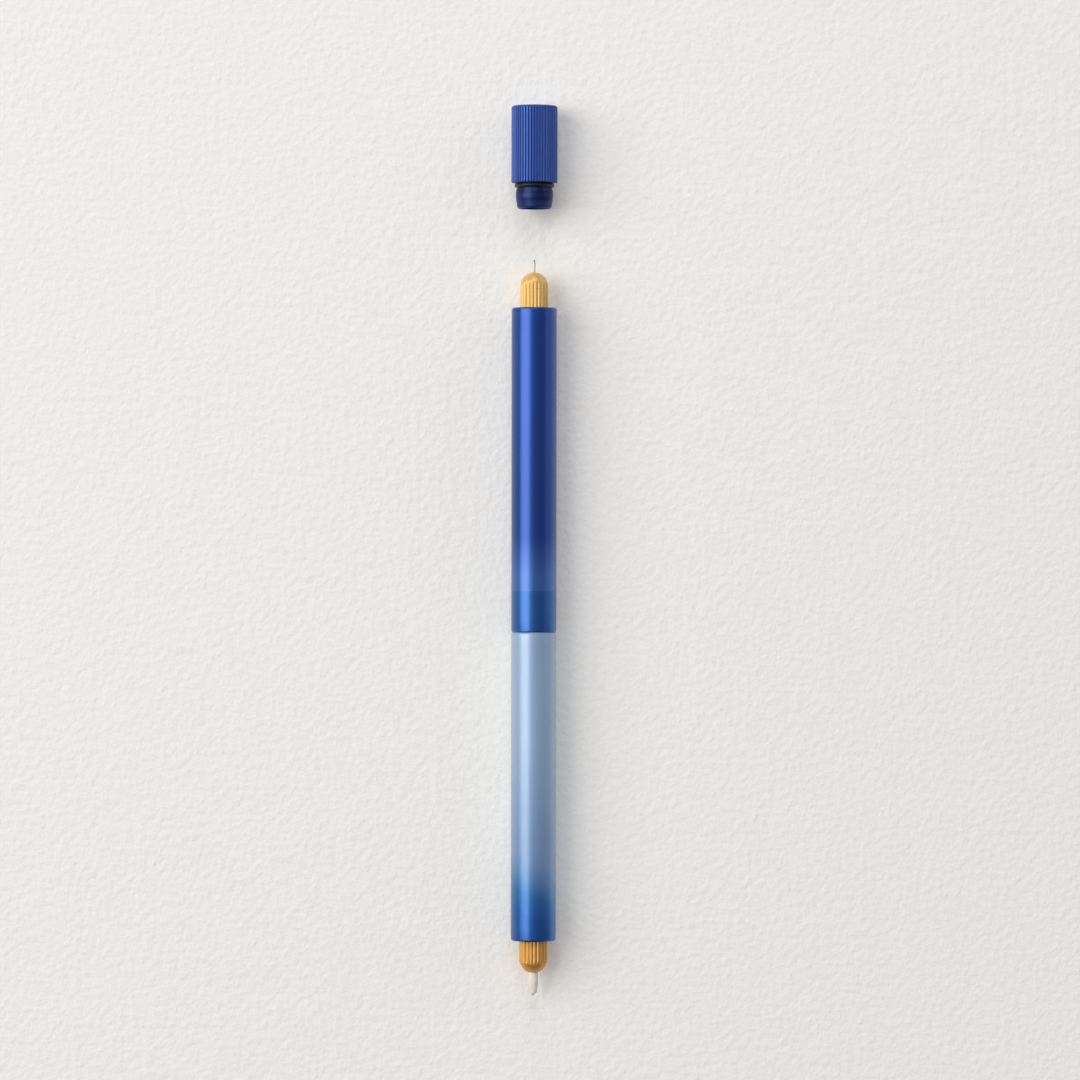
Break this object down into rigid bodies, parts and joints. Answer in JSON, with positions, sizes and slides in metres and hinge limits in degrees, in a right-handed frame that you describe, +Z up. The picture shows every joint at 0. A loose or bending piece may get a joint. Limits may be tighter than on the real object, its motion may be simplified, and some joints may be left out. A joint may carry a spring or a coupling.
{
  "type": "technical pen",
  "caption": "Double-ended drawing pen: needle point at one end, fibre nib at the other, with a ribbed push-on cap lying off in line.",
  "frame": {"origin": "on the surface under the middle of the whole length, cap parked in line", "axes": "+Y along the pen towards the needle end and the cap, +Z up, the pen lying flat"},
  "size_m": [0.0098, 0.189, 0.0098],
  "materials": {
    "anodised_dark_blue": "satin anodised, bead blasted",
    "anodised_pale_blue": "satin anodised, bead blasted, dye deepening to blue at the nib end",
    "anodised_cap_blue": "satin anodised, bead blasted",
    "plain_aluminium": "turned",
    "black_rubber": "satin",
    "brass": "turned and fluted, satin",
    "needle_steel": "fine ground",
    "white_plastic": "moulded",
    "clear_film": "thin wrap",
    "reservoir_fibre": "bonded polyester fibre",
    "wick_fibre": "bonded fibre rod",
    "nib_fibre": "pressed fibre, white",
    "needle_fibre": "extruded nib core"
  },
  "bodies": {
    "lower_barrel": {"lower_barrel": "anodised_pale_blue", "centre_coupler": "plain_aluminium", "lower_joint_o_ring": "black_rubber", "lower_reservoir": "reservoir_fibre", "lower_reservoir_film": "clear_film"},
    "upper_joint_o_ring": {"upper_joint_o_ring": "black_rubber"},
    "upper_barrel": {"upper_barrel": "anodised_dark_blue", "upper_reservoir": "reservoir_fibre", "upper_reservoir_film": "clear_film"},
    "upper_holder_o_ring": {"upper_holder_o_ring": "black_rubber"},
    "upper_nib_holder": {"upper_nib_holder": "brass", "needle_hub": "white_plastic", "needle_tube": "needle_steel", "needle_tip": "needle_fibre", "needle_wick": "wick_fibre"},
    "lower_holder_o_ring": {"lower_holder_o_ring": "black_rubber"},
    "lower_nib_holder": {"lower_nib_holder": "brass", "nib_collar": "white_plastic"},
    "fibre_nib": {"fibre_nib": "nib_fibre"},
    "cap_o_ring": {"cap_o_ring": "black_rubber"},
    "cap": {"cap_shell": "anodised_cap_blue"}
  },
  "joints": [
    {"name": "upper_barrel_advance", "type": "slide", "parent": "lower_barrel", "child": "upper_joint_o_ring", "axis": [0, 1, 0], "range_m": [0, 0.00675]},
    {"name": "upper_barrel_turn", "type": "hinge", "parent": "upper_joint_o_ring", "child": "upper_barrel", "pos_m": [0, 0, 0.0049], "axis": [0, 1, 0], "range_deg": [0, 3240.5]},
    {"name": "upper_holder_advance", "type": "slide", "parent": "upper_barrel", "child": "upper_holder_o_ring", "axis": [0, 1, 0], "range_m": [0, 0.006]},
    {"name": "upper_holder_turn", "type": "hinge", "parent": "upper_holder_o_ring", "child": "upper_nib_holder", "pos_m": [0, 0, 0.0049], "axis": [0, 1, 0], "range_deg": [0, 2880.5]},
    {"name": "lower_holder_advance", "type": "slide", "parent": "lower_barrel", "child": "lower_holder_o_ring", "axis": [0, -1, 0], "range_m": [0, 0.006]},
    {"name": "lower_holder_turn", "type": "hinge", "parent": "lower_holder_o_ring", "child": "lower_nib_holder", "pos_m": [0, 0, 0.0049], "axis": [0, -1, 0], "range_deg": [0, 2880.5]},
    {"name": "fibre_nib_pull", "type": "slide", "parent": "lower_nib_holder", "child": "fibre_nib", "axis": [0, -1, 0], "range_m": [0, 0.024]},
    {"name": "cap_pull", "type": "slide", "parent": "upper_barrel", "child": "cap_o_ring", "axis": [0, 1, 0], "range_m": [-0.0266, 0.02]},
    {"name": "cap_turn", "type": "hinge", "parent": "cap_o_ring", "child": "cap", "pos_m": [0, 0, 0.0049], "axis": [0, 1, 0], "continuous": true}
  ],
  "couplings": [
    {"joint": "upper_barrel_turn", "follows": "upper_barrel_advance", "rad_per_m": 8377.6},
    {"joint": "upper_holder_turn", "follows": "upper_holder_advance", "rad_per_m": 8377.6},
    {"joint": "lower_holder_turn", "follows": "lower_holder_advance", "rad_per_m": 8377.6}
  ]
}
